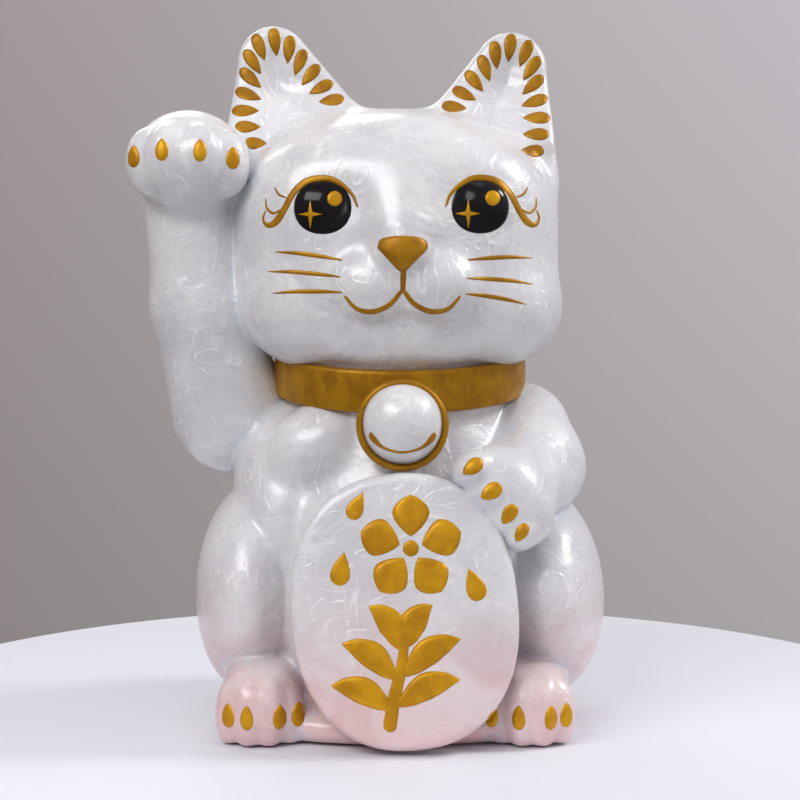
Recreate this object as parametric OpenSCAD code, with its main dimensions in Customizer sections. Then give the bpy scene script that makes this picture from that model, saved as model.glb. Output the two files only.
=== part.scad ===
// Beckoning cat coin bank: slip castings luted together, with fired enamel and gilding,
// and a pull-out stopper.
// The cat faces -Y. Right and left are the cat's own, so its right side is at -X.
// Figures are drawn in millimetres for a cat 240 high, and figure_h scales them all.

/* [Figure] */
// Height from the base to the ear tips
figure_h = 240; // [200:1:280]
// Wall thickness of the slip castings
wall = 5; // [4:0.5:6]
// Slip line between two castings that are luted together
lute = 0.2; // [0.15:0.05:0.3]
// Build-up of one coat of fired enamel or gilding above the glaze
enamel = 0.4; // [0.3:0.05:0.6]
// Bond line under a coat of enamel
bond = 0.02; // [0.01:0.01:0.05]

/* [Head] */
// Width of the head
head_w = 110; // [106:1:114]
// Depth of the head
head_d = 92; // [88:1:96]
// Height of the skull above the cheeks
skull_h = 92; // [88:1:96]
// Width of one ear
ear_w = 40; // [36:1:42]

/* [Torso] */
// Width of the belly between the haunches
belly_w = 108; // [104:1:112]
// Depth of the belly
belly_d = 112; // [108:1:114]
// Width of the neck inside the collar
neck_w = 82; // [80:1:84]
// Thickness of the base floor
floor_t = 7; // [6:0.5:8]

/* [Koban plaque] */
// Width of the oval coin plaque
koban_w = 75; // [68:1:76]
// Height of the plaque
koban_h = 90; // [84:1:90]
// Thickness of the plaque at its rim
koban_t = 11; // [9:0.5:12]
// Backward lean of the plaque in degrees
koban_lean = 8.5; // [7:0.5:9]

/* [Collar and bell] */
// Height of the collar band
collar_h = 13; // [11:0.5:15]
// Width of the bell dome
bell_w = 25; // [22:0.5:27]

/* [Coin bank] */
// Length of the coin slot
slot_l = 34; // [30:1:36]
// Height of the coin slot
slot_h = 5.2; // [5:0.1:6]
// Radius of the hole that the stopper closes
hole_r = 15; // [13:0.5:16]
// Radial clearance of the stopper in its hole
stopper_gap = 0.08; // [0.05:0.01:0.1]

/* [Hidden] */
$fn = 64;

design_h = 240;
u = figure_h / design_h;

white = [0.93, 0.92, 0.93];
gold = [0.80, 0.55, 0.10];
black = [0.04, 0.04, 0.05];
grey = [0.55, 0.55, 0.53];

// ---- volumes, each as [centre, radii, turn]; those with a left and a right are given for the left ----
belly = [[0, 2, 46], [belly_w / 2, belly_d / 2, 64], [0, 0, 0]];
chest = [[0, -8, 90], [43, 36, 25], [0, 0, 0]];
shoulder = [[38, -4, 89], [22, 27, 23], [0, 0, 0]];
haunch = [[49.5, -4, 43], [21.5, 42, 34], [0, 0, 0]];
skull = [[0, -2, 166], [skull_h / 2, head_w / 2, head_d / 2], [0, 90, -90]];
cheeks = [[0, -7, 148], [head_w / 2 + 1, head_d / 2, 33.5], [0, 0, 0]];
muzzle = [[9.5, -48, 151], [12, 10, 11], [0, 0, 0]];
chin = [[0, -45, 139], [12, 8, 9], [0, 0, 0]];
ear = [[38, 2, 200], [ear_w / 2, 7, 40], [0, 8, 0]];
ear_dish = [[38.5, -5.5, 205], [ear_w / 2 - 7, 7, 26], [0, 8, 0]];
raised_shoulder = [[-63, -3, 104], [18, 21, 21], [0, 0, 0]];
fore_arm = [[-69.5, -5, 142], [17, 18, 48], [4, 3, 0]];
raised_paw = [[-71, -22, 192.5], [20, 21, 17], [0, 0, 0]];
rest_shoulder = [[51, -6, 95], [16.5, 19, 16.5], [0, 0, 0]];
rest_elbow = [[46, -28, 86], [17, 22, 16], [0, 0, 0]];
rest_paw = [[31, -54, 79], [15.5, 14, 16], [0, 35, 0]];
foot = [[44.5, -38, 11], [14, 23, 15], [180, 0, 0]];
tail_form = [[6, 56, 20], [12, 11, 16], [0, 0, 90]];

neck_c = [0, -4];
neck_foot_z = 96;
neck_top_z = 128;
neck_d = neck_w - 4;

koban_c = [1.8, -64, 46.5];
collar_c = [0, -4, 118.6];
collar_t = 4;
collar_tip = 5;
bell_c = [0.8, -48, 106];
bell_d = 28;
bell_back_y = -43.6;
ring_r = 1.4;
slot_z = 92.5;
seat_r = hole_r + 5;
seat_h = 2.6;
flange_r = seat_r - 1.2;
flange_t = 1.8;
flange_z = 0.5;

function mirrored(v) = [[-v[0].x, v[0].y, v[0].z], v[1], [v[2].x, -v[2].y, -v[2].z]];
function on_side(v, side) = side < 0 ? mirrored(v) : v;

// ---- shared shapes ----
// Poles along X before its turn
module egg(v, grow = 0) {
    translate(u * v[0]) rotate(v[2]) scale(u * v[1] + grow * [1, 1, 1]) rotate([0, 90, 0]) sphere(1);
}

module above(z) {
    translate([-figure_h, -figure_h, z]) cube([2 * figure_h, 2 * figure_h, 2 * figure_h]);
}

// Extrudes an outline drawn in X and Z towards the front, from the depth y
module forward(y = 0, depth = design_h) {
    translate([0, u * y, 0]) rotate([90, 0, 0]) linear_extrude(u * depth) scale(u) children();
}

// One coat of enamel on the front of a volume, inside the outline drawn in X and Z
module coat(v, under = 0) {
    difference() {
        intersection() {
            egg(v, (under + 1) * enamel);
            forward(v[0].y) children();
        }
        egg(v, under * enamel + bond);
    }
}

// A teardrop along +X with its round end outwards, centred on its length
module petal(length, width) {
    steps = 20;
    polygon([for (i = [1:steps]) let (t = 360 * i / steps)
        [-length / 2 * cos(t), width * 0.65 * sin(t) * pow(sin(t / 2), 1.5)]]);
}

// A brush stroke along +X from the origin, widest in the middle
module stroke(length, width) {
    tip = 0.2;
    mid = length / 2;
    polygon([[0, -tip], [mid, -width / 2], [length, -tip], [length, tip], [mid, width / 2], [0, tip]]);
}

// A crescent that opens downwards, as wide as two radii
module crescent(r, thick) {
    difference() {
        circle(r);
        translate([0, -thick]) circle(r);
    }
}

// ---- castings ----
module neck(grow = 0, foot = neck_foot_z, top = neck_top_z) {
    translate(u * [neck_c.x, neck_c.y, foot])
        scale([u * neck_w / 2 + grow, u * neck_d / 2 + grow, 1]) cylinder(r = 1, h = u * (top - foot));
}

module torso() color(white) {
    difference() {
        intersection() {
            union() {
                egg(belly);
                egg(chest);
                for (side = [-1, 1]) {
                    egg(on_side(shoulder, side));
                    egg(on_side(haunch, side));
                }
                neck();
            }
            above(0);
        }
        intersection() {
            union() {
                egg(belly, -wall);
                for (side = [-1, 1]) egg(on_side(haunch, side), -wall);
                neck(-wall, neck_foot_z - 8, neck_top_z + 10);
            }
            above(floor_t);
        }
        translate([0, 0, -1]) cylinder(r = hole_r, h = floor_t + 2);
        translate([0, 0, -1]) cylinder(r = seat_r, h = seat_h + 1);
        translate([-slot_l / 2, u * 20, u * slot_z - slot_h / 2]) cube([slot_l, u * 50, slot_h]);
    }
}

module head() color(white) {
    difference() {
        union() {
            egg(skull);
            egg(cheeks);
            for (side = [-1, 1]) {
                egg(on_side(muzzle, side));
                difference() {
                    egg(on_side(ear, side));
                    egg(on_side(ear_dish, side));
                }
            }
            egg(chin);
        }
        egg(skull, -wall);
        neck(lute, top = neck_top_z + 5);
    }
}

module raised_arm() color(white) {
    difference() {
        for (v = [raised_shoulder, fore_arm, raised_paw]) egg(v);
        egg(fore_arm, -wall);
        for (v = [belly, mirrored(haunch), mirrored(shoulder), skull, cheeks, mirrored(ear)]) egg(v, lute);
    }
}

module resting_arm() color(white) {
    difference() {
        for (v = [rest_shoulder, rest_elbow, rest_paw]) egg(v);
        for (v = [belly, haunch, shoulder, chest]) egg(v, lute);
        koban_plate(lute);
    }
}

module foot_casting(side) color(white) {
    difference() {
        intersection() {
            egg(on_side(foot, side));
            above(0);
        }
        egg(belly, lute);
        egg(on_side(haunch, side), lute);
        koban_plate(lute);
    }
}

module tail() color(white) {
    difference() {
        egg(tail_form);
        egg(belly, lute);
    }
}

// The oval outline of the plaque, a little squarer than an ellipse
module koban_outline(grow = 0) {
    fullness = 2.3;
    function squared(c) = sign(c) * pow(abs(c), 2 / fullness);
    polygon([for (a = [0:5:355])
        [(u * koban_w / 2 + grow) * squared(cos(a)), (u * koban_h / 2 + grow) * squared(sin(a))]]);
}

// Local +Z leaves the plaque's front face
module on_koban() {
    translate(u * koban_c) rotate([90 - koban_lean, 0, 0]) children();
}

module koban_plate(grow = 0) {
    on_koban() translate([0, 0, -u * koban_t - grow])
        linear_extrude(u * koban_t + 2 * grow) koban_outline(grow);
}

module koban() color(white) {
    difference() {
        koban_plate();
        egg(belly, lute);
    }
}

module bell_dome(grow = 0) {
    translate(u * bell_c) rotate([90, 0, 0])
        scale([u * bell_w / 2 + grow, u * bell_w / 2 + grow, u * bell_d / 2 + grow]) sphere(1);
}

module bell_ring(grow = 0) {
    translate(u * (bell_c - [0, 3, 0])) rotate([90, 0, 0])
        rotate_extrude() translate([u * (bell_w / 2 + ring_r), 0]) circle(u * ring_r + grow, $fn = 24);
}

module collar() color(gold) {
    difference() {
        translate(u * collar_c) rotate([collar_tip, 0, 0])
            scale([1, (neck_d + 2 * collar_t) / (neck_w + 2 * collar_t), 1])
                cylinder(r = u * (neck_w / 2 + collar_t), h = u * collar_h, center = true);
        neck(lute, top = neck_top_z + 10);
        bell_dome(lute);
        bell_ring(lute);
    }
}

module bell() color(white) {
    intersection() {
        bell_dome();
        translate(u * [-bell_w, bell_back_y - 2 * bell_w, bell_c.z - bell_w]) cube(u * 2 * bell_w);
    }
}

// ---- enamel and gilding ----
eye_c = [25, 177];
eye_r = [10.2, 9.2];
eye_gap = 0.4;

// Outlines beside one eye, drawn for the left
module at_eye(side) {
    mirror([side < 0 ? 1 : 0, 0]) translate(eye_c) children();
}

module eye(side) color(black) mirror([side < 0 ? 1 : 0, 0, 0])
    coat(skull, $fn = 128) translate(eye_c) scale(eye_r) circle(1);

// The round glint is on the same side of both eyes, and the four-pointed star is across from it
module glints(side) color(gold) {
    coat(skull, 1) translate([side * eye_c.x + 3.6, eye_c.y + 3.6]) circle(2.5);
    coat(skull, 1) translate([side * eye_c.x - 3.4, eye_c.y - 1.8])
        polygon([for (i = [0:7]) (i % 2 == 0 ? 4.8 : 1.3) * [cos(45 * i), sin(45 * i)]]);
}

module lashes(side) color(gold) {
    coat(skull) at_eye(side) difference() {
        translate([0.4, 0.8]) crescent(eye_r.x + 1.8, 1.9);
        scale(eye_r + eye_gap * [1, 1]) circle(1);
    }
    coat(skull) at_eye(side) translate([13.2, -4.6]) rotate(-40) crescent(3.2, 1.1);
}

nose_c = [0.5, 161];

module nose() color(gold) {
    difference() {
        forward(-40, 18) translate(nose_c) polygon([
            [-8.4, 2.4], [-7, 4.4], [0, 5.2], [7, 4.4], [8.4, 2.4],
            [6, -1], [1.4, -5.2], [-1.4, -5.2], [-6, -1]]);
        for (v = [skull, cheeks, muzzle, mirrored(muzzle)]) egg(v, bond);
    }
}

module mouth_line() color(gold) {
    smile_r = 8.4;
    line_w = 1.5;
    for (side = [-1, 1]) difference() {
        coat(on_side(muzzle, side)) difference() {
            translate([side * smile_r, nose_c.y - 9.5]) difference() {
                circle(smile_r);
                circle(smile_r - line_w);
            }
            translate([-design_h / 2, nose_c.y - 10.5]) square([design_h, 30]);
            translate([side < 0 ? -0.1 : -30, 0]) square([30.1, design_h]);
        }
        egg(on_side(muzzle, -side), enamel + bond);
        egg(cheeks, bond);
        egg(chin, bond);
    }
}

// Height of each whisker at its root, and its fall towards the tip
whisker_rows = [[158.8, -3], [153, 4], [146.8, 5]];

module whiskers(side) color(gold) {
    for (w = whisker_rows)
        coat(cheeks) mirror([side < 0 ? 1 : 0, 0]) translate([23.5, w[0]]) rotate(-w[1]) stroke(21, 1.5);
}

// Petals round the rim of an ear, their points towards its middle
module ear_marks(side) color(gold) {
    rim = [ear_w / 2 - 3.7, 35.6];
    for (a = [-2:12.2:145])
        coat(on_side(ear, side)) mirror([side < 0 ? 1 : 0, 0])
            translate([ear[0].x, ear[0].z]) rotate(-ear[2].y) translate([rim.x * cos(a), rim.y * sin(a)])
                rotate(atan2(sin(a) / rim.y, cos(a) / rim.x)) petal(6, 3);
}

// Claws in a row across the front of a paw, each as [x, z]
module claws(v, places, size, turn) color(gold) {
    for (p = places) coat(v) translate(p) rotate(turn) petal(size.x, size.y);
}

module claws_raised_paw() {
    claws(raised_paw, [for (x = [-15, -6.5, 4.5, 14]) [raised_paw[0].x + x, 192.5]], [7, 3.6], -90);
}

module claws_resting_paw() {
    claws(rest_paw, [[22.6, 87.5], [28.2, 81.4], [34, 75.6], [38.6, 70.4]], [6.4, 3.4], 35);
}

module claws_foot(side) {
    claws(on_side(foot, side), [for (x = [-10, -3.8, 3.8, 10]) [side * foot[0].x + x, 9]], [7, 3.2], -90);
}

module bell_rim() color(gold) bell_ring();

module bell_mouth() color(gold) {
    mouth_r = bell_w / 2 - 3.6;
    dome = [bell_c, [bell_w, bell_d, bell_w] / 2, [0, 0, 0]];
    coat(dome) translate([bell_c.x, bell_c.z + 1]) difference() {
        circle(mouth_r + 0.8);
        circle(mouth_r - 0.8);
        translate([-20, -4]) square(40);
    }
}

// A leaf between two arcs, its foot at the origin and its point along +X
module leaf(length, width) {
    arc_r = (length * length / 4 + width * width / 4) / width;
    translate([length / 2, 0]) intersection_for(s = [-1, 1])
        translate([0, s * (arc_r - width / 2)]) circle(arc_r);
}

// A plum blossom over a sprig of bamboo leaves
module koban_emblem() color(gold) {
    on_koban() translate([0, 0, bond]) linear_extrude(enamel) scale(u) {
        translate([2, 20]) {
            for (a = [90:72:378]) rotate(a) translate([9, 0]) circle(5.6);
            circle(2.4);
        }
        for (p = [[-20, 12, 80], [20, 8, 110], [-12, 33, 60]]) translate([p.x, p.y]) rotate(p.z) leaf(9, 5);
        translate([0, -36]) {
            rotate(84) leaf(34, 3.4);
            for (p = [[1, 6, 155, 22], [1, 8, 22, 22], [2, 17, 150, 20], [2, 19, 30, 20], [3, 27, 120, 15]])
                translate([p.x, p.y]) rotate(p.z) leaf(p[3], 7);
        }
    }
}

module stopper() color(grey) {
    barrel_r = hole_r - stopper_gap;
    barrel_foot = flange_z + flange_t / 2;
    barrel_top = floor_t + 2.5;
    skin = 2;
    grip = [barrel_r * 1.6, 2.4, 2.4];
    web = 1.6;
    difference() {
        union() {
            translate([0, 0, flange_z]) cylinder(r = flange_r, h = flange_t);
            translate([0, 0, barrel_foot]) cylinder(r = barrel_r, h = barrel_top - barrel_foot);
        }
        translate([0, 0, flange_z + grip.z + web]) cylinder(r = barrel_r - skin, h = barrel_top);
        difference() {
            translate([0, 0, flange_z - 1]) cylinder(r = barrel_r - skin, h = grip.z + 1);
            translate([-grip.x / 2, -grip.y / 2, flange_z]) cube(grip + [0, 0, web]);
        }
    }
}

torso();
head();
raised_arm();
resting_arm();
foot_casting(-1);  // right_foot
foot_casting(1);  // left_foot
tail();
koban();
collar();
bell();
eye(-1);  // eye_right
eye(1);  // eye_left
glints(-1);  // eye_glints_right
glints(1);  // eye_glints_left
lashes(-1);  // lashes_right
lashes(1);  // lashes_left
nose();
mouth_line();
whiskers(-1);  // whiskers_right
whiskers(1);  // whiskers_left
ear_marks(-1);  // ear_marks_right
ear_marks(1);  // ear_marks_left
claws_raised_paw();
claws_resting_paw();
claws_foot(-1);  // claws_right_foot
claws_foot(1);  // claws_left_foot
bell_rim();
bell_mouth();
koban_emblem();
stopper();
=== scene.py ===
"""Looks for the beckoning cat coin bank.

It has pearl-glazed slip castings, mustard gilding, black eyes and a rubber stopper. The castings are drawn
out of one distance field, in millimetres, in the frame of the CAD model: X to the cat's left, -Y to the
front, Z up. Each CAD node gets one closed mesh of its own. Gilding and enamel are thin coats laid on the
front of that field.
"""

import math

import bpy
import numpy as np
import openvdb
from mathutils import Euler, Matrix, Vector


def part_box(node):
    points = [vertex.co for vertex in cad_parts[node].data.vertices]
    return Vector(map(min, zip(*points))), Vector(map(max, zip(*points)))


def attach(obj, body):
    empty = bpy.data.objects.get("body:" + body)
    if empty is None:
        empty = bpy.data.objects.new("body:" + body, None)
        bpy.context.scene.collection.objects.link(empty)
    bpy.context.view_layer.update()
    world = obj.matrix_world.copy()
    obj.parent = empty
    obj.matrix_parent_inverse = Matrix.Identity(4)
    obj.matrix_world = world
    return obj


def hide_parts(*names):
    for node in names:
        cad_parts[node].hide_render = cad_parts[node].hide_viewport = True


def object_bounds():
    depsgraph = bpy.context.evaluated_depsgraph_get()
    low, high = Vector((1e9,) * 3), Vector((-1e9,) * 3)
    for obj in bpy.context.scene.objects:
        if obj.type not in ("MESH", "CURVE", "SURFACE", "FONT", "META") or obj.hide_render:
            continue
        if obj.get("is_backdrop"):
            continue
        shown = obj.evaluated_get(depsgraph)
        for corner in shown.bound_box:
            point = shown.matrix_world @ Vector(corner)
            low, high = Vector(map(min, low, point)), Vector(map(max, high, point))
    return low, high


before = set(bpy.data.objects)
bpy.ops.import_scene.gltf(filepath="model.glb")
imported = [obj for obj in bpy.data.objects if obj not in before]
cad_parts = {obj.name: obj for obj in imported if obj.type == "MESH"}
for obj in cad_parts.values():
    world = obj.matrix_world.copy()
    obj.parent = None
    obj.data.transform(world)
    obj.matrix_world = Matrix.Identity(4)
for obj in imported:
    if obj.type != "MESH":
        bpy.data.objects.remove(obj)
cad_low, cad_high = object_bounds()
MM = 0.001
# Size of the mesh cells on the castings, in millimetres
CELL = 1.1

# ---- distance fields, in millimetres; p is an array of points, one to a row ----


def turned(turn):
    return np.array(Euler([math.radians(a) for a in turn], "XYZ").to_matrix())


def egg(p, centre, radii, turn=(0, 0, 0), fullness=2.0):
    """An ellipsoid, or a squarer one where fullness is over 2."""
    q = (p - np.array(centre, float)) @ turned(turn)
    r = np.array(radii, float)
    a = np.abs(q) / r + 1e-5
    if fullness == 2.0:
        size = np.sqrt((a * a).sum(1))
        slope = np.sqrt(((a / r) ** 2).sum(1)) / size
    else:
        size = (a**fullness).sum(1) ** (1 / fullness)
        slope = np.sqrt(((a ** (fullness - 1) / r) ** 2).sum(1)) * size ** (1 - fullness)
    return (size - 1) / slope


def limb(p, start, end, start_r, end_r):
    """A round bar between two points, of a radius that changes along it."""
    a = np.array(start, float)
    d = np.array(end, float) - a
    t = np.clip((p - a) @ d / (d @ d), 0, 1)
    return np.sqrt(((p - a - t[:, None] * d) ** 2).sum(1)) - (start_r + (end_r - start_r) * t)


def melt(a, b, soft):
    """The union of two fields, with a fillet as wide as soft."""
    h = np.maximum(soft - np.abs(a - b), 0) / soft
    return np.minimum(a, b) - h * h * h * soft / 6


def overlap(a, b, soft):
    return -melt(-a, -b, soft)


def carve(a, b, soft):
    return -melt(-a, b, soft)


def smooth(t):
    t = np.clip(t, 0, 1)
    return t * t * (3 - 2 * t)


def triangle(x, z, corners):
    """Distance to a triangle in the plane, negative inside."""
    best, inside = None, None
    for (ax, az), (bx, bz) in zip(corners, corners[1:] + corners[:1]):
        ex, ez = bx - ax, bz - az
        t = np.clip(((x - ax) * ex + (z - az) * ez) / (ex * ex + ez * ez), 0, 1)
        gap = np.hypot(x - ax - t * ex, z - az - t * ez)
        best = gap if best is None else np.minimum(best, gap)
        side = ex * (z - az) - ez * (x - ax)
        inside = side < 0 if inside is None else inside & (side < 0)
    return np.where(inside, -best, best)


# ---- the castings ----
# Corners of the triangle inside each ear, in X and Z, going clockwise as seen from the front
EARS = {
    "right": [(-49, 188), (-44, 227.5), (-18, 196.5)],
    "left": [(15.5, 196.5), (38.5, 225.5), (41.5, 188)],
}
# How far the ear reaches past its triangle
EAR_R = 12.5
EYES = {"right": (-25.3, 176.4), "left": (26.3, 176.6)}
NOSE_X = 0.8


def ear_field(p, corners):
    x, y, z = p.T
    edge = triangle(x, z, corners) - EAR_R
    high = smooth((z - 195) / 45)
    middle = 2 + 2 * high
    half = 6.2 - 2.6 * high
    dish = 2.4 * smooth((-edge - 6) / 12)
    flare = 11 * smooth((222 - z) / 26)
    slab = np.where(y < middle, middle - y - half - flare + dish, y - middle - half)
    return overlap(edge, slab, 6)


def head_field(p):
    d = egg(p, (-1.5, -3, 166), (56, 46.5, 46.5), fullness=2.6)
    d = overlap(d, egg(p, (-1.5, -3, 160), (66, 70, 51.5)), 6)
    for corners in EARS.values():
        d = melt(d, ear_field(p, corners), 9)
    d = melt(d, limb(p, (NOSE_X, -33, 192), (NOSE_X, -49, 168), 11, 8), 18)
    for x, z in EYES.values():
        d = carve(d, egg(p, (x * 1.04, -60, 181), (17, 13.5, 13)), 10)
        d = melt(d, egg(p, (x, -36.5, z), (12, 10.5, 11)), 3)
    for side in (-1, 1):
        d = melt(d, egg(p, (NOSE_X + side * 10, -45.5, 151), (14, 11, 12)), 8)
        d = melt(d, egg(p, (NOSE_X + side * 30, -20, 143), (24, 25, 20)), 12)
    d = melt(d, egg(p, (NOSE_X, -53, 161.5), (9, 5.5, 6.5)), 5)
    return melt(d, egg(p, (0.5, -35, 133), (25, 12, 11)), 10)


def torso_field(p):
    d = egg(p, (0, 2, 48), (50, 56, 63), fullness=2.3)
    d = melt(d, egg(p, (-1, -6, 92), (44, 36, 27)), 10)
    d = melt(d, egg(p, (0, -4, 116), (38.5, 36.5, 50)), 6)
    d = melt(d, egg(p, (-37, -6, 86), (21, 28, 24)), 8)
    d = melt(d, egg(p, (37, -2, 86), (22, 27, 24)), 8)
    d = melt(d, egg(p, (-39, -13, 69), (18, 27, 30)), 6)
    d = melt(d, egg(p, (-27, -27, 96), (19, 15.5, 15), (0, -28, 0)), 5)
    d = melt(d, egg(p, (0, -12, 5), (56, 47, 9), fullness=2.6), 5)
    d = melt(d, egg(p, (-51, -5, 46), (20, 42, 37), (0, 4, 0)), 3)
    return melt(d, egg(p, (51, -5, 44), (20, 42, 35), (0, -4, 0)), 3)


def raised_arm_field(p):
    d = limb(p, (-59, -1, 106), (-69, -9, 142), 21, 16)
    d = melt(d, limb(p, (-69, -9, 142), (-72, -10, 182), 16, 16), 10)
    d = melt(d, egg(p, (-71.5, -20.5, 192), (19.5, 20, 17.5), (10, 0, 0)), 6)
    for x, y, z in ((-84.5, -29.5, 192), (-77.5, -34.5, 193), (-66, -35, 193), (-57.5, -30, 191)):
        d = melt(d, egg(p, (x, y, z), (7.2, 7, 11)), 4)
    return d


def resting_arm_field(p):
    d = limb(p, (41.5, -5, 98.5), (45.5, -17, 88.5), 18, 17)
    d = melt(d, limb(p, (45.5, -17, 88.5), (39, -38, 83.5), 17, 14.5), 8)
    d = melt(d, egg(p, (35, -47, 81.5), (14, 13.5, 19), (0, -37, 0)), 6)
    for x, z, r in ((23.8, 91, 7.6), (28.2, 83.2, 8.2), (34.2, 76, 8), (39.8, 70.5, 7)):
        d = melt(d, egg(p, (x, -53, z), (r, 7.5, r * 0.85), (0, -37, 0)), 3.2)
    return d


def foot_field(p, side):
    d = egg(p, (side * 45 - 1.5, -35, 11.5), (13.5, 25, 15), fullness=2.6)
    for step in (-9.8, -3.4, 3.4, 9.8):
        d = melt(d, egg(p, (side * 45 - 1.5 + step, -54.5 + 0.05 * step * step, 9.5), (4.8, 6, 11)), 3.4)
    return d


def tail_field(p):
    d = limb(p, (19, 50, 12), (4, 57, 15), 9.5, 9.5)
    return melt(d, limb(p, (4, 57, 15), (-7, 55, 29), 9.5, 8), 6)


CASTINGS = {
    "torso": (torso_field, 0),
    "head": (head_field, 6),
    "raised_arm": (raised_arm_field, 4),
    "resting_arm": (resting_arm_field, 3.5),
    "right_foot": (lambda p: foot_field(p, -1), 3.5),
    "left_foot": (lambda p: foot_field(p, 1), 3.5),
    "tail": (tail_field, 5),
}

SEAT_R, SEAT_H, HOLE_R = 20, 2.6, 15
SLOT_HALF, SLOT_R, SLOT_Z = 17, 2.6, 92.5


def part_distances(p):
    return np.array([field(p) for field, _ in CASTINGS.values()])


def body_field(p):
    """All the castings of the figure as one skin, flat on the floor, with the stopper's seat cut out."""
    parts = part_distances(p)
    d = parts[0]
    for row, (_, soft) in zip(parts[1:], list(CASTINGS.values())[1:]):
        d = melt(d, row, soft)
    d = overlap(d, -p[:, 2], 2)
    seat = overlap(np.hypot(p[:, 0], p[:, 1]) - SEAT_R, p[:, 2] - SEAT_H, 0.6)
    return carve(d, seat, 0.8)


def hole_distance(p):
    """Distance to the edge of the stopper's hole in the seat, negative inside."""
    return np.where(p[:, 2] < 8, np.hypot(p[:, 0], p[:, 1]) - HOLE_R, 99)


def slot_distance(p):
    """Distance to the edge of the coin slot in the back, negative inside."""
    along = np.maximum(np.abs(p[:, 0]) - (SLOT_HALF - SLOT_R), 0)
    return np.where(p[:, 1] > 0, np.hypot(along, p[:, 2] - SLOT_Z) - SLOT_R, 99)


# ---- koban, bell and collar ----
KOBAN_C, KOBAN_LEAN = (1.5, -64.5, 46.2), 8.5
KOBAN_HALF, KOBAN_T = (37, 45), 11
BELL_C = (0.8, -49, 106)
BELL_RING, BELL_WIRE = 14, 1.25
COLLAR_C, COLLAR_TIP = (0, -4, 120.3), 6.5


def koban_field(p):
    q = (p - np.array(KOBAN_C)) @ turned((-KOBAN_LEAN, 0, 0)) @ turned((0, -5, 0))
    a = np.abs(q[:, [0, 2]]) / KOBAN_HALF + 1e-5
    n = 2.3
    size = (a**n).sum(1) ** (1 / n)
    slope = np.sqrt(((a ** (n - 1) / KOBAN_HALF) ** 2).sum(1)) * size ** (1 - n)
    crown = 1.6 * (1 - np.minimum(size, 1) ** 2)
    flat = np.maximum(-q[:, 1] - crown, q[:, 1] - KOBAN_T)
    return overlap(overlap((size - 1) / slope, flat, 6), -p[:, 2] + 0.3, 1)


def bell_field(p):
    d = egg(p, BELL_C, (13.1, 12.5, 13.1), fullness=2.1)
    return overlap(d, p[:, 1] + 42, 0.8)


def collar_field(p):
    q = (p - np.array(COLLAR_C)) @ turned((COLLAR_TIP, 0, 0))
    r = np.array((41.3, 39.4))
    a = np.abs(q[:, :2]) / r + 1e-5
    size = np.sqrt((a * a).sum(1))
    ring = (size - 1) / (np.sqrt(((a / r) ** 2).sum(1)) / size)
    front = smooth((-q[:, 1] - 20) / 20)
    wrinkle = np.exp(-(((q[:, 0] - 17) / 5) ** 2)) * np.exp(-(((q[:, 2] - 2) / 3.5) ** 2)) * front
    swell = 0.4 * np.cos(q[:, 2] / 7 * math.pi / 2)
    wall = np.abs(ring) - 2 - swell + 0.9 * wrinkle
    return overlap(wall, np.abs(q[:, 2] + 0.9 * wrinkle) - 7.2, 1.6)


def rim_field(p):
    around = np.hypot(p[:, 0] - BELL_C[0], p[:, 2] - BELL_C[2] + 0.7) - BELL_RING
    return np.hypot(around, (p[:, 1] + 50) / 1.6) - BELL_WIRE


def front_field(p):
    d = melt(body_field(p), koban_field(p), 0.5)
    return np.minimum(d, bell_field(p))


# ---- from a field to a mesh ----


def slopes(field, p, step=0.25):
    """The field's gradient, from four samples at the corners of a tetrahedron."""
    corners = np.array([(1, 1, 1), (1, -1, -1), (-1, 1, -1), (-1, -1, 1)], float)
    return sum(c * field(p + c * step)[:, None] for c in corners) / (4 * step)


def unit(v):
    return v / np.maximum(np.linalg.norm(v, axis=1), 1e-9)[:, None]


def settle(field, p, rounds=2):
    """Moves the points onto the surface."""
    for _ in range(rounds):
        g = slopes(field, p)
        p = p - np.clip(field(p) / np.maximum((g * g).sum(1), 0.2), -1.5, 1.5)[:, None] * g
    return p


FAR = 50.0


def extract(field, low, high, cell):
    """The surface of a field as points and quads, even in size.

    Only the grid points near it are worked out finely.
    """
    ratio = 4
    low = np.array(low, float)
    count = np.ceil((np.array(high) - low) / (cell * ratio)).astype(int) + 1
    axes = [low[i] + cell * ratio * np.arange(count[i]) for i in range(3)]
    coarse = field(np.stack(np.meshgrid(*axes, indexing="ij"), -1).reshape(-1, 3)).reshape(count)
    fine = coarse.repeat(ratio, 0).repeat(ratio, 1).repeat(ratio, 2)
    near = np.argwhere(np.abs(fine) < cell * (ratio + 3.5))
    fine[tuple(near.T)] = field(low + near * cell)
    grid = openvdb.FloatGrid(FAR)
    grid.copyFromArray(np.ascontiguousarray(fine, dtype=np.float32))
    points, quads = grid.convertToQuads()
    points = settle(field, low + points.astype(float) * cell)
    for _ in range(3):
        points = settle(field, relaxed(points, quads), 1)
    quads = quads.astype(int)
    a, b, c, d = (points[quads[:, i]] for i in range(4))
    outward = (np.cross(c - a, d - b) * slopes(field, (a + b + c + d) / 4)).sum(1)
    return points, quads if np.median(outward) > 0 else quads[:, ::-1]


def relaxed(points, quads):
    """Each point half way to the mean of its neighbours."""
    total, share = np.zeros_like(points), np.zeros(len(points))
    for i in range(4):
        for j in (i - 1, (i + 1) % 4):
            np.add.at(total, quads[:, i], points[quads[:, j]])
            np.add.at(share, quads[:, i], 1)
    return (points + total / np.maximum(share, 1)[:, None]) / 2


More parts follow.
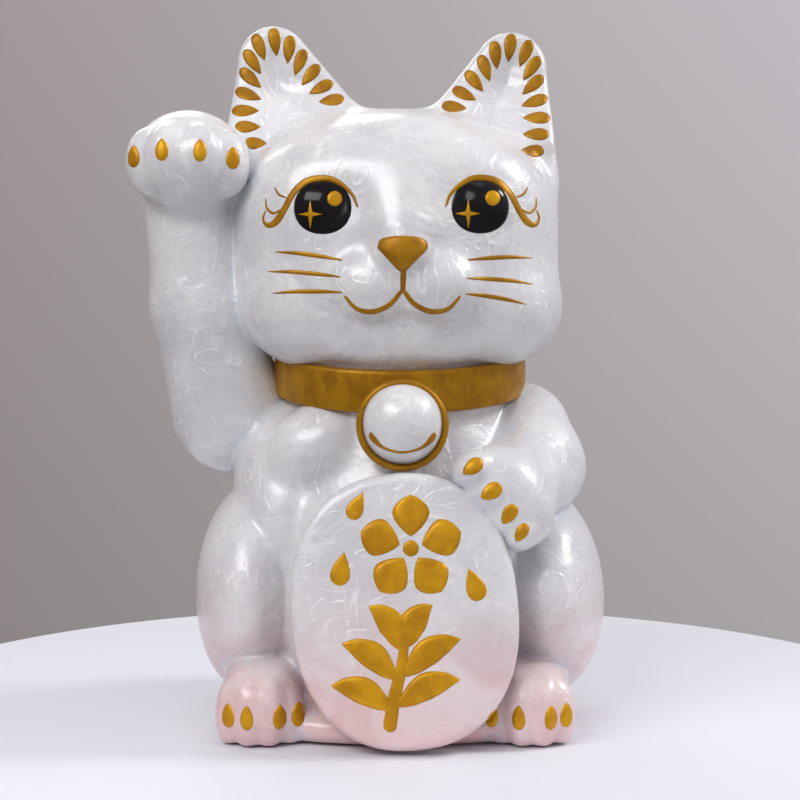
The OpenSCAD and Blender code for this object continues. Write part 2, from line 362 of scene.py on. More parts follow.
def edge_pairs(quads):
    """Each face pair that shares an edge, as two face numbers."""
    edges = np.concatenate([np.sort(quads[:, [i, (i + 1) % 4]], 1) for i in range(4)])
    face = np.tile(np.arange(len(quads)), 4)
    order = np.lexsort(edges.T)
    same = (edges[order][1:] == edges[order][:-1]).all(1)
    return face[order][:-1][same], face[order][1:][same]


def settled_labels(labels, quads):
    """Labels with every spur along a border taken off."""
    one, other = edge_pairs(quads)
    count = labels.max() + 1
    for _ in range(8):
        votes = np.zeros((len(quads), count))
        np.add.at(votes, (one, labels[other]), 1)
        np.add.at(votes, (other, labels[one]), 1)
        own = votes[np.arange(len(quads)), labels]
        best = votes.argmax(1)
        labels = np.where((own <= 1) & (votes.max(1) >= 3), best, labels)
    return labels


def snap_borders(points, quads, labels, distances, field):
    """Moves the points on a border between two labels onto the line where those two are equally near."""
    seen = np.full((len(points), 2), -1)
    mixed = np.zeros(len(points), bool)
    for i in range(4):
        for v, tag in zip(quads[:, i], labels):
            if tag in (seen[v, 0], seen[v, 1]):
                continue
            if seen[v, 0] < 0:
                seen[v, 0] = tag
            elif seen[v, 1] < 0:
                seen[v, 1] = tag
            else:
                mixed[v] = True
    at = np.flatnonzero((seen[:, 1] >= 0) & ~mixed)
    one, other = seen[at].T
    rows = np.arange(len(at))

    def between(p):
        d = distances(p)
        holes = d[-2:]
        gap = d[one, rows] - d[other, rows]
        for k, tag in enumerate((len(d) - 2, len(d) - 1)):
            gap = np.where(one == tag, holes[k], gap)
            gap = np.where(other == tag, -holes[k], gap)
        return gap

    q = points[at]
    for _ in range(3):
        n = unit(slopes(field, q))
        g = slopes(between, q)
        g -= (g * n).sum(1)[:, None] * n
        step = between(q) / np.maximum((g * g).sum(1), 0.3)
        q = settle(field, q - np.clip(step, -0.45 * CELL, 0.45 * CELL)[:, None] * g, 1)
    points = points.copy()
    points[at] = q
    return points


def add_piece(name, node, slot, points, faces, normals=None, crease_tint=None):
    """One closed mesh that stands for one CAD node."""
    mesh = bpy.data.meshes.new(name)
    mesh.from_pydata((points * MM).tolist(), [], faces)
    mesh.polygons.foreach_set("use_smooth", np.ones(len(faces), bool))
    if normals is not None:
        mesh.normals_split_custom_set(normals)
    if crease_tint is not None:
        mesh.attributes.new("crease_tint", "FLOAT", "POINT").data.foreach_set("value", crease_tint.astype(np.float32))
    piece = bpy.data.objects.new(name, mesh)
    bpy.context.scene.collection.objects.link(piece)
    mesh.materials.append(BRIGHT_GILDING if node.startswith(BRIGHT_NODES) else MATERIALS[slot])
    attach(piece, "stopper" if node == "stopper" else "cat")
    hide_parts(node)


def casting_shell(name, node, slot, points, quads, normals, crease_tint, thick=2.2):
    """Closes an open patch of surface into a wall of that thickness."""
    used, index = np.unique(quads, return_inverse=True)
    outer = index.reshape(-1, 4)
    p, n, count = points[used], normals[used], len(used)
    edges = np.concatenate([outer[:, [i, (i + 1) % 4]] for i in range(4)])
    lookup = set(map(tuple, edges.tolist()))
    rim = [(a, b) for a, b in edges.tolist() if (b, a) not in lookup]
    faces = outer.tolist() + (outer[:, ::-1] + count).tolist()
    faces += [(b, a, a + count, b + count) for a, b in rim]
    both = np.concatenate([p, p - n * thick])
    loops = np.concatenate([n[outer.ravel()], -n[outer[:, ::-1].ravel()]])
    rim_loops = []
    for a, b in rim:
        side = np.cross(both[a] - both[b], both[a + count] - both[a])
        side /= max(np.linalg.norm(side), 1e-9)
        rim_loops += [side] * 4
    loops = np.concatenate([loops, np.array(rim_loops).reshape(-1, 3)])
    add_piece(name, node, slot, both, faces, loops.tolist(), np.concatenate([crease_tint[used], crease_tint[used]]))


def solid_piece(name, node, slot, field, low, high, cell):
    points, quads = extract(field, low, high, cell)
    normals = unit(slopes(field, points))
    crease_tint = np.zeros(len(points))
    add_piece(name, node, slot, points, quads.tolist(), normals[quads.ravel()].tolist(), crease_tint)


# ---- coats of gilding and enamel ----


def spline(points, count):
    """A smooth line through the points, with count samples evenly along it."""
    p = np.array(points, float)
    p = np.concatenate([2 * p[:1] - p[1:2], p, 2 * p[-1:] - p[-2:-1]])
    t = np.linspace(0, len(points) - 1 - 1e-6, 12 * len(points))
    i = t.astype(int)
    f = (t - i)[:, None]
    a, b, c, d = p[i], p[i + 1], p[i + 2], p[i + 3]
    line = 0.5 * (2 * b + (c - a) * f + (2 * a - 5 * b + 4 * c - d) * f**2 + (3 * b - a - 3 * c + d) * f**3)
    run = np.concatenate([[0], np.cumsum(np.linalg.norm(np.diff(line[:, :2], axis=0), axis=1))])
    at = np.linspace(0, run[-1], count)
    return np.stack([np.interp(at, run, line[:, k]) for k in range(p.shape[1])], 1), at


def stroke(points):
    """A brush stroke with round ends. Each point is X, Z and the stroke's half width there."""
    length = sum(math.dist(a[:2], b[:2]) for a, b in zip(points, points[1:]))
    count = max(10, int(length / 0.7))
    line, run = spline(points, count)
    half = np.maximum(line[:, 2], 0.05)
    end = np.minimum(run, run[-1] - run)
    half = half * np.sqrt(np.clip(1 - (1 - np.clip(end / half, 0, 1)) ** 2, 0.002, 1))
    along = unit(np.gradient(line[:, :2], axis=0))
    across = np.stack([-along[:, 1], along[:, 0]], 1)
    n = 7
    lanes = np.linspace(-1, 1, n)
    flat = (line[:, None, :2] + across[:, None] * (half[:, None] * lanes)[..., None]).reshape(-1, 2)
    edge = (half[:, None] * (1 - np.abs(lanes))).ravel()
    faces = [
        (i * n + j, i * n + j + 1, (i + 1) * n + j + 1, (i + 1) * n + j)
        for i in range(count - 1)
        for j in range(n - 1)
    ]
    border = [i * n for i in range(count)]
    border += [(count - 1) * n + j for j in range(1, n)]
    border += [i * n + n - 1 for i in range(count - 2, -1, -1)]
    border += [j for j in range(n - 2, 0, -1)]
    return flat, edge, faces, border


def blob(outline, centre):
    """A filled outline that can be seen whole from its centre."""
    outline, centre = np.array(outline, float), np.array(centre, float)
    reach = np.linalg.norm(outline - centre, axis=1)
    rings = max(4, int(reach.max() / 1.1))
    shares = 1 - (1 - np.arange(1, rings + 1) / rings) ** 1.3
    k = len(outline)
    flat = np.concatenate([[centre]] + [centre + s * (outline - centre) for s in shares])
    edge = np.concatenate([[reach.min()]] + [(1 - s) * reach * 0.8 for s in shares])
    faces = [(0, 1 + i, 1 + (i + 1) % k) for i in range(k)]
    for r in range(rings - 1):
        a, b = 1 + r * k, 1 + (r + 1) * k
        faces += [(a + i, b + i, b + (i + 1) % k, a + (i + 1) % k) for i in range(k)]
    return flat, edge, faces, [1 + (rings - 1) * k + i for i in range(k)]


def oval(x, z, rx, rz, count, fullness=2.0):
    a = np.linspace(0, 2 * math.pi, count, endpoint=False)
    px = rx * np.sign(np.cos(a)) * np.abs(np.cos(a)) ** (2 / fullness)
    pz = rz * np.sign(np.sin(a)) * np.abs(np.sin(a)) ** (2 / fullness)
    return blob(np.stack([x + px, z + pz], 1), (x, z))


def teardrop(x, z, length, width, turn, sharp=1.2, count=32):
    """A drop centred at X and Z, its point towards turn degrees, counted from +X towards +Z."""
    t = np.linspace(0, 2 * math.pi, count, endpoint=False)
    px = length / 2 * np.cos(t)
    pz = width * 0.62 * np.sin(t) * np.sin(t / 2) ** sharp
    c, s = math.cos(math.radians(turn)), math.sin(math.radians(turn))
    middle = -0.12 * length
    return blob(np.stack([x + c * px - s * pz, z + s * px + c * pz], 1), (x + c * middle, z + s * middle))


def draped(flat, field, start=-92):
    """Where a line along +Y through each X and Z first meets the surface."""
    p = np.stack([flat[:, 0], np.full(len(flat), float(start)), flat[:, 1]], 1)
    for _ in range(60):
        d = field(p)
        p[:, 1] += np.clip(d * 0.85, -1, 6)
        if np.abs(d).max() < 0.02:
            break
    return p


def coat(name, node, slot, shapes, field=front_field, rise=0.45, sunk=0.35, soft=0.35):
    """Lays the shapes on the front of the field as one piece, rounded off towards their edges."""
    flats, edges = [s[0] for s in shapes], [s[1] for s in shapes]
    base = draped(np.concatenate(flats), field)
    normal = unit(slopes(field, base))
    height = rise * (1 - np.exp(-np.concatenate(edges) / soft))
    top = base + normal * height[:, None]
    low = base - normal * sunk
    count, offset, faces = len(base), 0, []
    for flat, _, own, border in shapes:
        a, b, c = (flat[own[len(own) // 2][i]] for i in range(3))
        to_front = (b[0] - a[0]) * (c[1] - a[1]) - (b[1] - a[1]) * (c[0] - a[0]) > 0
        step = 1 if to_front else -1
        upper = [tuple(v + offset for v in f[::step]) for f in own]
        faces += upper + [tuple(v + count for v in f[::-1]) for f in upper]
        ring = [v + offset for v in border]
        turns = sum(
            flat[border[i - 1]][0] * flat[border[i]][1] - flat[border[i]][0] * flat[border[i - 1]][1]
            for i in range(len(border))
        )
        ring = ring if turns > 0 else ring[::-1]
        faces += [(ring[i], ring[i - 1], ring[i - 1] + count, ring[i] + count) for i in range(len(ring))]
        offset += len(flat)
    add_piece(name, node, slot, np.concatenate([top, low]), faces)


# ---- materials ----


class Nodes:
    """Adds shader nodes to a new material, and links them."""

    def __init__(self, name):
        self.material = bpy.data.materials.new(name)
        self.material.use_nodes = True
        self.tree = self.material.node_tree
        self.shader = self.tree.nodes["Principled BSDF"]

    def add(self, kind, settings, **inputs):
        node = self.tree.nodes.new(kind)
        for key, value in settings.items():
            setattr(node, key, value)
        for key, value in inputs.items():
            self.put(node, key.replace("_", " "), value)
        return node

    def put(self, node, socket, value):
        target = node.inputs[int(socket)] if socket.isdigit() else node.inputs[socket]
        if isinstance(value, bpy.types.NodeSocket):
            self.tree.links.new(value, target)
        else:
            target.default_value = value

    def maths(self, operation, a, b):
        node = self.tree.nodes.new("ShaderNodeMath")
        node.operation = operation
        self.put(node, "0", a)
        self.put(node, "1", b)
        return node.outputs[0]

    def mix(self, share, a, b):
        node = self.tree.nodes.new("ShaderNodeMix")
        node.data_type = "RGBA"
        self.put(node, "0", share)
        self.put(node, "6", a)
        self.put(node, "7", b)
        return node.outputs[2]

    def steps(self, value, low, high):
        node = self.add("ShaderNodeMapRange", {"interpolation_type": "SMOOTHSTEP"})
        self.put(node, "Value", value)
        self.put(node, "From Min", low)
        self.put(node, "From Max", high)
        return node.outputs["Result"]

    def noise(self, place, scale, detail=2.0, rough=0.5, warp=0.0, stretch=None, turn=(0, 0, 0)):
        if stretch:
            place = self.add("ShaderNodeMapping", {}, Vector=place, Scale=stretch, Rotation=turn).outputs[0]
        node = self.add("ShaderNodeTexNoise", {}, Scale=scale, Detail=detail, Roughness=rough)
        self.put(node, "Distortion", warp)
        self.put(node, "Vector", place)
        return node.outputs[0]

    def finish(self, colour, roughness, bump=None, strength=0.2, distance=0.0003, **constants):
        self.put(self.shader, "Base Color", colour)
        self.put(self.shader, "Roughness", roughness)
        if bump is not None:
            node = self.add("ShaderNodeBump", {}, Strength=strength, Distance=distance, Height=bump)
            self.tree.links.new(node.outputs[0], self.shader.inputs["Normal"])
        for key, value in constants.items():
            self.shader.inputs[key.replace("_", " ")].default_value = value
        return self.material


def pearl_glaze():
    """White lustre glaze: crinkled strands, partly its own streaks and partly painted glints of its lustre,
    a darker blue-grey tint in the creases, and pink towards the foot.
    """
    m = Nodes("pearl_glaze")
    place = m.add("ShaderNodeTexCoord", {}).outputs["Object"]
    broad = m.noise(place, 38, 3, 0.6, warp=0.6)
    fine = m.noise(place, 420, 3, 0.6)
    glinting_strands = []
    for scale, stretch, turn, low in (
        (60, (1, 1, 0.3), (0.3, 0.5, 0.2), 0.47),
        (75, (0.3, 1, 1), (0.1, -0.6, 0.5), 0.49),
    ):
        waves = m.noise(place, scale, 2, 0.45, warp=0.5, stretch=stretch, turn=turn)
        level = m.maths("DIVIDE", m.maths("PINGPONG", waves, 0.04), 0.04)
        patches = m.steps(m.noise(place, 45, 3, 0.7, stretch=(1.3, 1, 0.9), turn=turn), low, low + 0.14)
        glinting_strands.append(m.maths("MULTIPLY", m.steps(level, 0.72, 1.0), patches))
    glinting_strand = m.maths("MAXIMUM", glinting_strands[0], glinting_strands[1])
    white, lavender = (0.79, 0.80, 0.805, 1), (0.68, 0.685, 0.71, 1)
    grey, strand_glint_white = (0.59, 0.59, 0.61, 1), (0.97, 0.97, 0.98, 1)
    deep_pink, pale_pink, crease_blue_grey = (0.74, 0.45, 0.44, 1), (0.83, 0.61, 0.60, 1), (0.62, 0.68, 0.76, 1)
    colour = m.mix(m.steps(broad, 0.34, 0.62), lavender, white)
    colour = m.mix(m.maths("MULTIPLY", m.steps(fine, 0.42, 0.7), 0.3), colour, grey)
    glinting_strand = m.maths("MULTIPLY", glinting_strand, m.steps(fine, 0.3, 0.6))
    # Near-white strands: partly the glaze's own crinkled streaks, partly painted glints of its lustre
    colour = m.mix(m.maths("MULTIPLY", glinting_strand, 0.95), colour, strand_glint_white)
    height = m.add("ShaderNodeSeparateXYZ", {}, Vector=place).outputs[2]
    uneven = m.maths("ADD", height, m.maths("MULTIPLY", m.maths("SUBTRACT", broad, 0.5), 0.035))
    blush = m.maths("MULTIPLY", m.steps(uneven, 0.063, -0.006), 0.95)
    colour = m.mix(blush, colour, m.mix(m.steps(broad, 0.3, 0.7), deep_pink, pale_pink))
    # Darker blue-grey tint, speckled, in the creases between castings and round the plaque's edge
    crease_tint = m.add("ShaderNodeAttribute", {"attribute_name": "crease_tint"}).outputs["Fac"]
    speckled = m.maths("MULTIPLY", crease_tint, m.steps(fine, 0.32, 0.62))
    colour = m.mix(m.maths("MULTIPLY", speckled, 0.6), colour, crease_blue_grey)
    relief = m.maths("ADD", m.maths("MULTIPLY", glinting_strand, 0.28), m.maths("MULTIPLY", broad, 3))
    rough = m.maths("SUBTRACT", 0.38, m.maths("MULTIPLY", glinting_strand, 0.12))
    return m.finish(
        colour, rough, relief, 0.6, 0.001,
        Metallic=0.05, Coat_Weight=0.6, Coat_Roughness=0.2, Coat_IOR=1.5, Specular_IOR_Level=0.5,
    )


def gold_enamel(name, dark, light):
    """Mustard gilding, brushed on by hand, thinner and browner in patches."""
    m = Nodes(name)
    place = m.add("ShaderNodeTexCoord", {}).outputs["Object"]
    broad = m.noise(place, 120, 3, 0.6)
    brush = m.noise(place, 500, 3, 0.6, stretch=(1, 1, 0.3), turn=(0, 0.5, 0))
    colour = m.mix(m.steps(broad, 0.3, 0.7), dark, light)
    colour = m.mix(m.maths("MULTIPLY", m.steps(brush, 0.5, 0.75), 0.25), colour, (0.66, 0.38, 0.01, 1))
    rough = m.maths("ADD", 0.34, m.maths("MULTIPLY", brush, 0.2))
    return m.finish(
        colour, rough, brush, 0.2, 0.0002,
        Metallic=0.4, Coat_Weight=0.03, Coat_Roughness=0.15, Specular_IOR_Level=0.3,
    )


def black_enamel():
    m = Nodes("black_enamel")
    place = m.add("ShaderNodeTexCoord", {}).outputs["Object"]
    cloud = m.noise(place, 90, 3, 0.6)
    colour = m.mix(cloud, (0.003, 0.003, 0.004, 1), (0.010, 0.009, 0.010, 1))
    rough = m.maths("ADD", 0.1, m.maths("MULTIPLY", cloud, 0.1))
    return m.finish(
        colour, rough, cloud, 0.08, 0.0003,
        Coat_Weight=0.06, Coat_Roughness=0.06, Specular_IOR_Level=0.2,
    )


def stopper_rubber():
    m = Nodes("stopper_rubber")
    place = m.add("ShaderNodeTexCoord", {}).outputs["Object"]
    grain = m.noise(place, 900, 3, 0.6)
    cloud = m.noise(place, 60, 2, 0.5)
    colour = m.mix(cloud, (0.30, 0.295, 0.28, 1), (0.40, 0.39, 0.37, 1))
    rough = m.maths("ADD", 0.5, m.maths("MULTIPLY", grain, 0.2))
    return m.finish(colour, rough, grain, 0.25, 0.0002)


MATERIALS = {
    "pearl_glaze": pearl_glaze(),
    "gold_enamel": gold_enamel("gold_enamel", (0.32, 0.135, 0.002, 1), (0.45, 0.22, 0.003, 1)),
    "black_enamel": black_enamel(),
    "stopper_rubber": stopper_rubber(),
}

BRIGHT_GILDING = gold_enamel("gold_enamel_bright", (0.50, 0.23, 0.003, 1), (0.70, 0.36, 0.005, 1))
BRIGHT_NODES = ("koban_emblem", "claws", "eye_glints")

# ---- build the castings ----


def label_distances(p):
    return np.concatenate([part_distances(p), [hole_distance(p), slot_distance(p)]])


def build_castings():
    margin = Vector((6, 6, 6))
    low, high = cad_low / MM - margin, cad_high / MM + margin
    points, quads = extract(body_field, low, high, CELL)
    middles = points[quads].mean(1)
    distances = label_distances(middles)
    labels = distances[:-2].argmin(0)
    labels = settled_labels(labels, quads)
    for k in (-2, -1):
        labels = np.where(distances[k] < 0, len(distances) + k, labels)
    points = snap_borders(points, quads, labels, label_distances, body_field)
    normals = unit(slopes(body_field, points))
    gaps = np.sort(part_distances(points), 0)
    inner = np.minimum(np.abs(koban_field(points)), 9)
    # Share of the darker blue-grey tint: high where two castings meet and round the plaque's edge
    crease_tint = np.maximum(1 - smooth((gaps[1] - gaps[0]) / 7), 1 - smooth(inner / 4))
    for k, node in enumerate(CASTINGS):
        casting_shell(node + "_casting", node, "pearl_glaze", points, quads[labels == k], normals, crease_tint)


build_castings()
koban_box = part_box("koban")
margin = Vector((8, 8, 8))
low, high = koban_box[0] / MM - margin, koban_box[1] / MM + margin
solid_piece("koban_plaque", "koban", "pearl_glaze", koban_field, low, high, CELL * 0.9)
margin = Vector((18, 18, 18))
low, high = Vector(BELL_C) - margin, Vector(BELL_C) + margin
solid_piece("bell_dome", "bell", "pearl_glaze", bell_field, low, high, CELL * 0.6)
solid_piece("bell_gilt_rim", "bell_rim", "gold_enamel", rim_field, low, high, CELL * 0.45)
low, high = Vector((-50, -54, 104)), Vector((50, 44, 134))
solid_piece("collar_band", "collar", "gold_enamel", collar_field, low, high, CELL * 0.75)

# ---- eyes ----
EYE_RISE = 0.7
for side, (x, z) in EYES.items():
    coat("eye_" + side + "_enamel", "eye_" + side, "black_enamel",
         [oval(x, z, 9.5, 8.7, 56, fullness=2.15)], rise=EYE_RISE, soft=1.2)


def eye_on(p):
    """The castings with the eyes' own coats on them."""
    return front_field(p) - EYE_RISE + 0.02


for side, (x, z) in EYES.items():
    star = []
    for i, reach in enumerate(2 * (4.9, 1.05, 4.2, 1.05)):
        turn = i * math.pi / 4
        star.append((x - 4 + reach * math.sin(turn), z - 2.2 + reach * math.cos(turn)))
    coat("eye_glints_" + side + "_gilt", "eye_glints_" + side, "gold_enamel",
         [oval(x + 4, z + 2.9, 2.5, 2.5, 24), blob(star, (x - 4, z - 2.2))],
         field=eye_on, rise=0.25, sunk=0.2, soft=0.25)
    out = -1 if side == "right" else 1
    lid = [(-11.6, -0.2, 0.35), (-9.4, 4.6, 0.6), (-4, 8.8, 0.95), (1, 9.6, 1.05), (6, 8.3, 1.1)]
    lid += [(9.9, 4.5, 1.1), (12.9, -0.8, 1.1), (15.6, -4.6, 1.2), (18.4, -5.8, 0.8), (20, -3.6, 0.45)]
    lid += [(19, -0.6, 0.25)]
    upper = [(11.8, 3.2, 0.25), (14.6, 4.4, 0.4), (16.2, 7, 0.2)]
    lower = [(13.6, -0.4, 0.25), (16.4, -1.8, 0.45), (18.8, 0.2, 0.4), (19, 3.6, 0.2)]
    coat("lashes_" + side + "_gilt", "lashes_" + side, "gold_enamel",
         [stroke([(x + out * a, z + b, w) for a, b, w in line]) for line in (lid, upper, lower)], rise=0.3)

# ---- nose, mouth and whiskers ----
nose = [(-8.2, 1.8), (-6.8, 4.8), (0, 5.8), (6.8, 4.8), (8.2, 1.8)]
nose += [(5, -1.6), (1.6, -5.2), (0, -6), (-1.6, -5.2), (-5, -1.6)]
nose_line, _ = spline([(a, b, 0) for a, b in nose + nose[:1]], 60)
coat("nose_gilt", "nose", "gold_enamel",
     [blob(nose_line[:-1, :2] + (NOSE_X, 161.4), (NOSE_X, 162.5))], rise=0.5, soft=0.6)
mouth = [stroke([(NOSE_X + 0.3, 156.5, 0.9), (NOSE_X + 0.2, 152.5, 0.95), (NOSE_X + 0.1, 148.8, 0.8)])]
for out in (-1, 1):
    mouth.append(stroke([(NOSE_X + a * out, z, w) for a, z, w in (
        (0.2, 149.6, 0.7), (4, 145, 0.85), (9.5, 142.6, 0.9), (15, 143.6, 0.75), (19, 148, 0.4))]))
coat("mouth_line_gilt", "mouth_line", "gold_enamel", mouth, rise=0.3)
# Inner and outer end of each whisker, as X, Z, X, Z
ROWS = {
    "right": [(-18.5, 159.2, -41.5, 161.9), (-19, 153.8, -44, 155.4), (-18.5, 148.8, -42.3, 148.2)],
    "left": [(21.8, 159.3, 44, 159.9), (21.5, 153.4, 44.3, 151.2), (21.1, 148.4, 41.8, 144.6)],
}
for side, rows in ROWS.items():
    hairs = []
    for a, b, c, d in rows:
        near = ((a * 2 + c) / 3, (b * 2 + d) / 3 + 0.4, 0.7)
        far = ((a + c * 2) / 3, (b + d * 2) / 3 + 0.5, 0.65)
        hairs.append(stroke([(a, b, 0.25), near, far, (c, d, 0.15)]))
    coat("whiskers_" + side + "_gilt", "whiskers_" + side, "gold_enamel", hairs, rise=0.25)

# ---- petals round the ears ----


PETALS, PETAL_LENGTH, PETAL_WIDTH, PETAL_SHARP = 13, 8.8, 4.3, 0.75
# Distance from the ear's rim to the middle of a petal
PETAL_INSET = 5.6


def ear_petals(corners, first, last, tuck):
    """Thirteen petals just inside the rim of the ear at -X, their points towards its middle.

    They run up the outer side from the share first of its length, and down the inner side to the share
    last of its own.
    The lowest one on the outer side is moved inwards by tuck.
    """
    foot, tip, inner = (np.array(c, float) for c in corners)
    inset = EAR_R - PETAL_INSET
    up, down = unit(np.array([tip - foot, inner - tip]))
    out_up, out_down = np.array((-up[1], up[0])), np.array((-down[1], down[0]))
    path = [foot + t * (tip - foot) + out_up * inset for t in np.linspace(first, 1, 12)]
    start, stop = math.atan2(out_up[1], out_up[0]), math.atan2(out_down[1], out_down[0])
    path += [tip + inset * np.array((math.cos(t), math.sin(t))) for t in np.linspace(start, stop, 8)[1:-1]]
    path += [tip + t * (inner - tip) + out_down * inset for t in np.linspace(0, last, 12)]
    evenly, _ = spline([(x, z, 0) for x, z in path], PETALS)
    middle = tip + (3.5, -16)
    petals = []
    for i, (x, z, _) in enumerate(evenly):
        tucked = max(0, tuck * (1 - i / 1.5))
        x += tucked
        turn = math.degrees(math.atan2(min(middle[1], z) - z, middle[0] - x))
        length = PETAL_LENGTH + 1.4 * math.sin(math.pi * i / (PETALS - 1)) - 0.2 * tucked
        petals.append(teardrop(x, z, length, PETAL_WIDTH, turn, PETAL_SHARP))
    return petals


coat("ear_marks_right_gilt", "ear_marks_right", "gold_enamel", ear_petals(EARS["right"], 0.25, 0.58, 5.4),
     field=head_field, rise=0.35)
mirrored = ear_petals([(-x, z) for x, z in EARS["left"][::-1]], 0.2, 0.63, 2.8)
marks = [(flat * (-1, 1), edge, faces, border) for flat, edge, faces, border in mirrored]
coat("ear_marks_left_gilt", "ear_marks_left", "gold_enamel", marks, field=head_field, rise=0.35)

# ---- claws ----
# Each claw mark's X, Z, length, width and the way it points, in degrees
CLAWS = {
    "claws_raised_paw": [
        (x, z, 7.5, 4.1, 90)
        for x, z in ((-88.3, 193.5), (-78.3, 195.5), (-65.7, 195.2), (-55.3, 192.9))
    ],
    "claws_resting_paw": [
        (23.5, 92.6, 7.6, 4.6, 215),
        (29.5, 84.6, 7.8, 4.9, 212),
        (35.3, 77.2, 7.4, 4.4, 236),
        (39.3, 71.2, 6.8, 3.8, 240),
    ],
    "claws_right_foot": [(x, 10.3, 8.2, 4, 90) for x in (-56.3, -50, -39.3, -33.5)],
    "claws_left_foot": [(x, 10.3, 8.2, 4, 90) for x in (30, 38.7, 49.3, 54.6)],
}
for node, rows in CLAWS.items():
    coat(node + "_gilt", node, "gold_enamel", [teardrop(*row, 0.45) for row in rows], rise=0.4)

# ---- bell mouth and the emblem on the plaque ----
x, z = BELL_C[0], BELL_C[2]
slit = [(x - 10.3, z - 2.2, 0.5), (x - 9.6, z - 4.4, 1.1), (x - 6, z - 7.4, 0.55), (x, z - 8.8, 0.45),
        (x + 6, z - 7.4, 0.55), (x + 9.6, z - 4.4, 1.1), (x + 10.3, z - 2.2, 0.5)]
coat("bell_mouth_gilt", "bell_mouth", "gold_enamel", [stroke(slit)], rise=0.3)

blossom_x, blossom_z = 3.5, 66.5
emblem = [oval(blossom_x, blossom_z, 2.6, 2.6, 24)]
for k in range(5):
    a = math.radians(90 + 72 * k)
    petal = [(3.8, 0.6), (6.6, 3.6), (10.8, 6), (14.8, 5), (17, 1.8)]
    c, s = math.cos(a), math.sin(a)
    emblem.append(stroke([(blossom_x + c * u, blossom_z + s * u, w) for u, w in petal]))
emblem += [teardrop(-19, 60, 11, 7, 80), teardrop(24, 55, 11, 7, 110), teardrop(-14, 80, 9.5, 6, 65)]
stem = [(-3.5, 8, 2.2), (-2, 18, 2.1), (0.5, 29, 1.8), (1.5, 37, 1.4), (2.5, 44, 0.9)]
emblem.append(stroke(stem))
# Where each leaf starts on the stem, the way it grows in degrees, and its length
LEAVES = [
    (-2.5, 15.5, 160, 21),
    (-1, 16.5, 22, 22),
    (-1, 25, 148, 21),
    (1, 26, 32, 22),
    (1, 34, 128, 18),
    (2, 35, 58, 16),
]
for x, z, turn, length in LEAVES:
    c, s = math.cos(math.radians(turn)), math.sin(math.radians(turn))
    bend = -2.2 if turn > 90 else 2.2
    leaf = []
    for along, aside, half in [(0, 0, 0.8), (0.22, 0.4, 3), (0.5, 1, 4.4), (0.78, 0.7, 3), (1, 0, 0.2)]:
        u, v = along * length, aside * bend
        leaf.append((x + c * u - s * v, z + s * u + c * v, half))
    emblem.append(stroke(leaf))
coat("koban_emblem_gilt", "koban_emblem", "gold_enamel", emblem, field=koban_field, rise=0.4)


# ---- stopper ----
def stopper_field(p):
    r = np.hypot(p[:, 0], p[:, 1])
    z = p[:, 2]
    flange = overlap(r - 18.8, np.abs(z - 1.4) - 0.9, 0.7)
    barrel = overlap(r - 14.9 + 0.25 * smooth((z - 8) / 1.5), np.abs(z - 5.2) - 4.3, 0.8)
    d = melt(flange, barrel, 0.6)
    inside = overlap(r - 12.9, 4.9 - z, 0.8)
    below = overlap(r - 12.9, z - 3.3, 0.8)
    tab = overlap(np.abs(p[:, 0]) - 12.9, np.abs(p[:, 1]) - 1.3, 0.8)
    return overlap(carve(carve(d, inside, 0.6), carve(below, tab, 0.6), 0.6), 0.5 - z, 0.4)


low, high = Vector((-22, -22, -2)), Vector((22, 22, 13))
solid_piece("stopper_plug", "stopper", "stopper_rubber", stopper_field, low, high, CELL * 0.5)

# ---- floor, light and camera ----


def area_light(name, place, aim, size, power, colour=(1, 1, 1)):
    data = bpy.data.lights.new(name, "AREA")
    data.shape, data.size, data.size_y = "RECTANGLE", size[0], size[1]
    data.energy, data.color = power, colour
    lamp = bpy.data.objects.new(name, data)
    bpy.context.scene.collection.objects.link(lamp)
    lamp.location = place
    lamp.rotation_euler = (Vector(aim) - Vector(place)).to_track_quat("-Z", "Y").to_euler()
    lamp.visible_camera = False


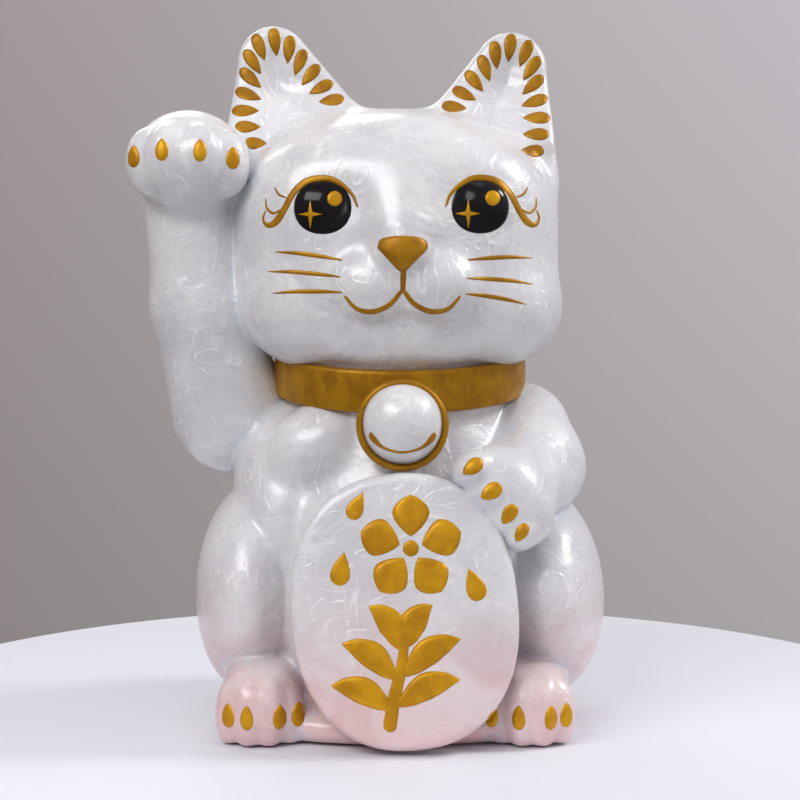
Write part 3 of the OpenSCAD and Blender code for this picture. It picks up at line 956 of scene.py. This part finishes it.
def floor():
    """The round white stand that the figure sits on, with a rounded edge."""
    m = Nodes("floor_white")
    place = m.add("ShaderNodeTexCoord", {}).outputs["Object"]
    cloud = m.noise(place, 6, 3, 0.5)
    material = m.finish(m.mix(cloud, (0.76, 0.79, 0.85, 1), (0.79, 0.82, 0.88, 1)), 0.5)
    rings = [(0.199, 0), (0.203, -0.001), (0.205, -0.005), (0.205, -0.03)]
    count = 128
    turns = [2 * math.pi * i / count for i in range(count)]
    points = [(r * math.cos(a), r * math.sin(a), h) for r, h in rings for a in turns]
    faces = [tuple(range(count))]
    for k in range(len(rings) - 1):
        a, b = k * count, (k + 1) * count
        faces += [(a + (i + 1) % count, a + i, b + i, b + (i + 1) % count) for i in range(count)]
    mesh = bpy.data.meshes.new("floor")
    mesh.from_pydata(points, [], faces)
    mesh.polygons.foreach_set("use_smooth", np.ones(len(faces), bool))
    mesh.materials.append(material)
    disc = bpy.data.objects.new("floor", mesh)
    disc.location = (0, 0.016, -0.0005)
    bpy.context.scene.collection.objects.link(disc)
    disc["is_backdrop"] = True


def backdrop():
    """A grey room, darker and browner low down and towards -X."""
    world = bpy.data.worlds.new("studio")
    bpy.context.scene.world = world
    world.use_nodes = True
    tree = world.node_tree
    sky = tree.nodes["Background"]
    where = tree.nodes.new("ShaderNodeTexCoord")
    split = tree.nodes.new("ShaderNodeSeparateXYZ")
    tree.links.new(where.outputs["Generated"], split.inputs[0])
    colours = []
    for axis, low, high, dark, light in (
        (2, -0.35, 0.12, (0.23, 0.215, 0.21, 1), (0.39, 0.36, 0.37, 1)),
        (0, -0.2, 0.25, (0.9, 0.86, 0.85, 1), (1.45, 1.5, 1.55, 1)),
    ):
        ramp = tree.nodes.new("ShaderNodeMapRange")
        ramp.inputs["From Min"].default_value, ramp.inputs["From Max"].default_value = low, high
        tree.links.new(split.outputs[axis], ramp.inputs["Value"])
        mix = tree.nodes.new("ShaderNodeMix")
        mix.data_type = "RGBA"
        mix.inputs[6].default_value, mix.inputs[7].default_value = dark, light
        tree.links.new(ramp.outputs[0], mix.inputs[0])
        colours.append(mix.outputs[2])
    both = tree.nodes.new("ShaderNodeMix")
    both.data_type, both.blend_type = "RGBA", "MULTIPLY"
    both.inputs[0].default_value = 1
    tree.links.new(colours[0], both.inputs[6])
    tree.links.new(colours[1], both.inputs[7])
    tree.links.new(both.outputs[2], sky.inputs[0])


floor()
backdrop()
area_light("key_softbox", (0.95, 0.05, 0.85), (0, 0, 0.12), (0.25, 0.25), 5.8, (1, 0.99, 0.98))
area_light("top_softbox", (-0.1, -0.2, 1.35), (0, 0, 0.1), (0.8, 0.5), 1.5)
area_light("front_softbox", (-0.65, -0.95, 0.95), (0, 0, 0.13), (1.0, 0.5), 10, (0.98, 0.985, 1))
area_light("back_strip", (-0.4, 0.9, 0.9), (0, 0, 0.12), (0.8, 0.3), 3)

camera = bpy.data.objects.new("camera", bpy.data.cameras.new("camera"))
bpy.context.scene.collection.objects.link(camera)
CAMERA_TIP = 4.2
SENSOR, FOCAL_PIXELS, FRAME_PIXELS = 36, 2145, 800
camera.location = (0, -0.75, 0.165)
camera.rotation_euler = (math.radians(90 - CAMERA_TIP), 0, 0)
camera.data.sensor_width = SENSOR
camera.data.lens = SENSOR * FOCAL_PIXELS / FRAME_PIXELS
bpy.context.scene.camera = camera
bpy.context.scene.view_settings.view_transform = "Standard"

low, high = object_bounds()
